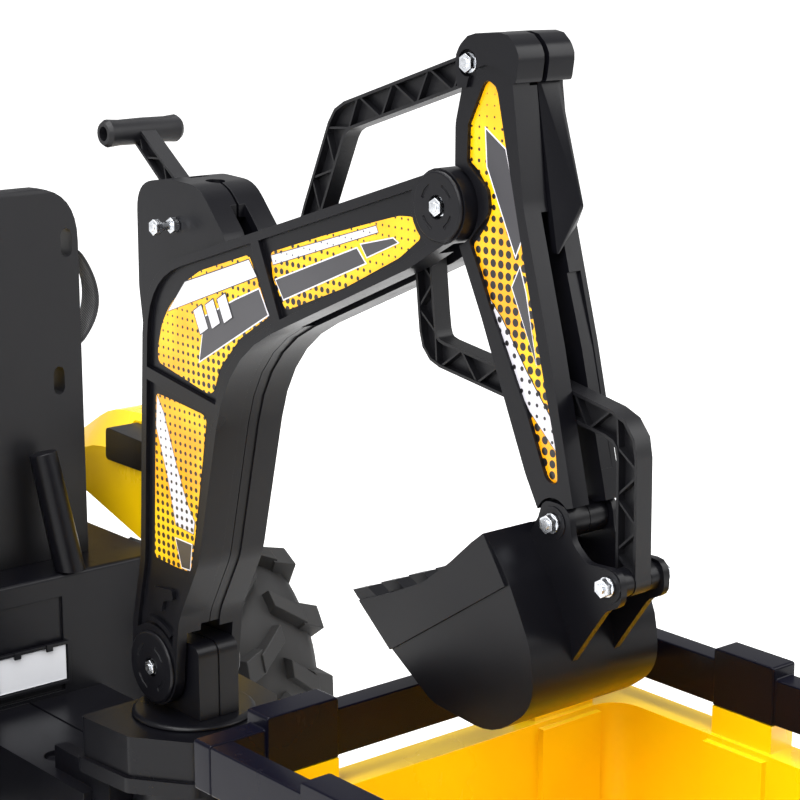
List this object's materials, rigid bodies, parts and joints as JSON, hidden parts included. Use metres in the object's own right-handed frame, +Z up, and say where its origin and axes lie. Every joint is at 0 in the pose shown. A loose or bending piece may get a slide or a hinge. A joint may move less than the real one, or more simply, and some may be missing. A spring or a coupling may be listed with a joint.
{
  "type": "ride-on digger",
  "caption": "Child's electric ride-on digger: lever-worked boom, stick and bucket on a turning pedestal behind the seat, and a hitched trailer with a raised fence.",
  "frame": {"origin": "on the floor under the middle of the footprint", "axes": "+X forwards, the way the vehicle drives; +Y to the rider's left; +Z up"},
  "size_m": [1.954, 0.644, 0.9714],
  "materials": {
    "black_plastic": "satin injection moulding",
    "satin_plastic": "fine-grained satin",
    "gloss_black_plastic": "gloss",
    "yellow_plastic": "gloss",
    "zinc": "bright zinc plating",
    "steel": "dark plated",
    "wheel_plastic": "matt",
    "webbing": "woven",
    "plate": "satin, blank"
  },
  "bodies": {
    "chassis": {"pedestal": "black_plastic", "body_tub": "black_plastic", "battery": "satin_plastic", "number_plate": "plate", "seat": "satin_plastic", "seat_strut_left": "satin_plastic", "seat_strut_right": "satin_plastic", "seat_belt": "webbing", "fender_left": "yellow_plastic", "fender_right": "yellow_plastic", "armrest_left": "black_plastic", "armrest_right": "black_plastic", "bonnet": "yellow_plastic", "headlight_left": "plate", "headlight_right": "plate", "bumper": "black_plastic", "steering_column": "black_plastic", "rear_axle": "steel"},
    "turret": {"turntable": "black_plastic", "turret_stand": "black_plastic", "boom_pivot_bolt": "zinc"},
    "boom": {"boom_left_shell": "black_plastic", "boom_right_shell": "black_plastic", "foot_cap_left": "black_plastic", "foot_cap_right": "black_plastic", "elbow_cap_left": "black_plastic", "elbow_cap_right": "black_plastic", "elbow_bolt": "zinc", "lower_link_pin": "zinc", "lever_housing": "satin_plastic", "lever_bolt": "zinc"},
    "lever": {"t_lever": "satin_plastic"},
    "stick": {"stick_left_shell": "black_plastic", "stick_right_shell": "black_plastic", "upper_link_bolt": "zinc", "bucket_pivot_bolt": "zinc"},
    "upper_link": {"upper_link": "satin_plastic"},
    "lower_link": {"lower_link": "satin_plastic"},
    "bucket": {"bucket": "black_plastic", "bucket_link_bolt": "zinc"},
    "bucket_link": {"bucket_link": "satin_plastic"},
    "steering_wheel": {"steering_wheel": "black_plastic"},
    "knuckle_left": {"steering_knuckle_left": "steel"},
    "knuckle_right": {"steering_knuckle_right": "steel"},
    "front_wheel_left": {"front_wheel_left": "wheel_plastic"},
    "front_wheel_right": {"front_wheel_right": "wheel_plastic"},
    "rear_wheel_left": {"rear_wheel_left": "wheel_plastic"},
    "rear_wheel_right": {"rear_wheel_right": "wheel_plastic"},
    "pedal": {"pedal": "black_plastic"},
    "trailer": {"trailer_tub": "yellow_plastic", "trailer_drawbar": "black_plastic", "hitch_pin": "zinc", "fence_front": "gloss_black_plastic", "fence_rear": "gloss_black_plastic", "fence_left": "gloss_black_plastic", "fence_right": "gloss_black_plastic", "trailer_axle": "steel"},
    "trailer_wheel_left": {"trailer_wheel_left": "wheel_plastic"},
    "trailer_wheel_right": {"trailer_wheel_right": "wheel_plastic"}
  },
  "joints": [
    {"name": "turret_yaw", "type": "hinge", "parent": "chassis", "child": "turret", "pos_m": [-0.127, 0, 0.293], "axis": [0, 0, 1], "range_deg": [-85, 85]},
    {"name": "boom_lift", "type": "hinge", "parent": "turret", "child": "boom", "pos_m": [-0.115, 0, 0.34], "axis": [0, 1, 0], "range_deg": [-10, 25]},
    {"name": "stick_swing", "type": "hinge", "parent": "boom", "child": "stick", "pos_m": [-0.5345, 0, 0.8354], "axis": [0, 1, 0], "range_deg": [-12, 25]},
    {"name": "lever_swing", "type": "hinge", "parent": "boom", "child": "lever", "pos_m": [-0.162, 0, 0.777], "axis": [0, 1, 0], "range_deg": [-20.5, 10]},
    {"name": "upper_link_turn", "type": "hinge", "parent": "stick", "child": "upper_link", "pos_m": [-0.556, 0, 0.947], "axis": [0, 1, 0], "range_deg": [-25.5, 12.5]},
    {"name": "lower_link_turn", "type": "hinge", "parent": "boom", "child": "lower_link", "pos_m": [-0.478, 0, 0.81], "axis": [0, 1, 0], "range_deg": [-12.5, 25.5]},
    {"name": "bucket_curl", "type": "hinge", "parent": "stick", "child": "bucket", "pos_m": [-0.655, 0, 0.605], "axis": [0, 1, 0], "range_deg": [-11, 23]},
    {"name": "bucket_link_turn", "type": "hinge", "parent": "bucket", "child": "bucket_link", "pos_m": [-0.715, 0, 0.569], "axis": [0, 1, 0], "range_deg": [-23, 11]},
    {"name": "steering", "type": "hinge", "parent": "chassis", "child": "steering_wheel", "pos_m": [0.537, 0, 0.526], "axis": [-0.6539, 0, 0.7566], "range_deg": [-80, 80]},
    {"name": "kingpin_left", "type": "hinge", "parent": "chassis", "child": "knuckle_left", "pos_m": [0.83, 0.156, 0.114], "axis": [0, 0, 1], "range_deg": [-24.5, 24.5]},
    {"name": "kingpin_right", "type": "hinge", "parent": "chassis", "child": "knuckle_right", "pos_m": [0.83, -0.156, 0.114], "axis": [0, 0, 1], "range_deg": [-24.5, 24.5]},
    {"name": "front_spin_left", "type": "hinge", "parent": "knuckle_left", "child": "front_wheel_left", "pos_m": [0.83, 0.226, 0.115], "axis": [0, 1, 0], "continuous": true},
    {"name": "front_spin_right", "type": "hinge", "parent": "knuckle_right", "child": "front_wheel_right", "pos_m": [0.83, -0.226, 0.115], "axis": [0, 1, 0], "continuous": true},
    {"name": "rear_spin_left", "type": "hinge", "parent": "chassis", "child": "rear_wheel_left", "pos_m": [0.23, 0.263, 0.175], "axis": [0, 1, 0], "continuous": true},
    {"name": "rear_spin_right", "type": "hinge", "parent": "chassis", "child": "rear_wheel_right", "pos_m": [0.23, -0.263, 0.175], "axis": [0, 1, 0], "continuous": true},
    {"name": "pedal_press", "type": "hinge", "parent": "chassis", "child": "pedal", "pos_m": [0.585, -0.075, 0.174], "axis": [0, 1, 0], "range_deg": [0, 14], "stiffness_Nm_per_rad": 1.2, "springref_deg": -20.05},
    {"name": "hitch_yaw", "type": "hinge", "parent": "chassis", "child": "trailer", "pos_m": [-0.227, 0, 0.172], "axis": [0, 0, 1], "range_deg": [-25, 25]},
    {"name": "trailer_spin_left", "type": "hinge", "parent": "trailer", "child": "trailer_wheel_left", "pos_m": [-0.735, 0.195, 0.1], "axis": [0, 1, 0], "continuous": true},
    {"name": "trailer_spin_right", "type": "hinge", "parent": "trailer", "child": "trailer_wheel_right", "pos_m": [-0.735, -0.195, 0.1], "axis": [0, 1, 0], "continuous": true}
  ],
  "couplings": [
    {"joint": "lever_swing", "follows": "stick_swing", "ratio": -0.8},
    {"joint": "upper_link_turn", "follows": "stick_swing", "ratio": -1},
    {"joint": "lower_link_turn", "follows": "stick_swing", "ratio": 1},
    {"joint": "bucket_curl", "follows": "stick_swing", "ratio": 0.9},
    {"joint": "bucket_link_turn", "follows": "stick_swing", "ratio": -0.9},
    {"joint": "kingpin_left", "follows": "steering", "ratio": 0.3},
    {"joint": "kingpin_right", "follows": "steering", "ratio": 0.3}
  ]
}
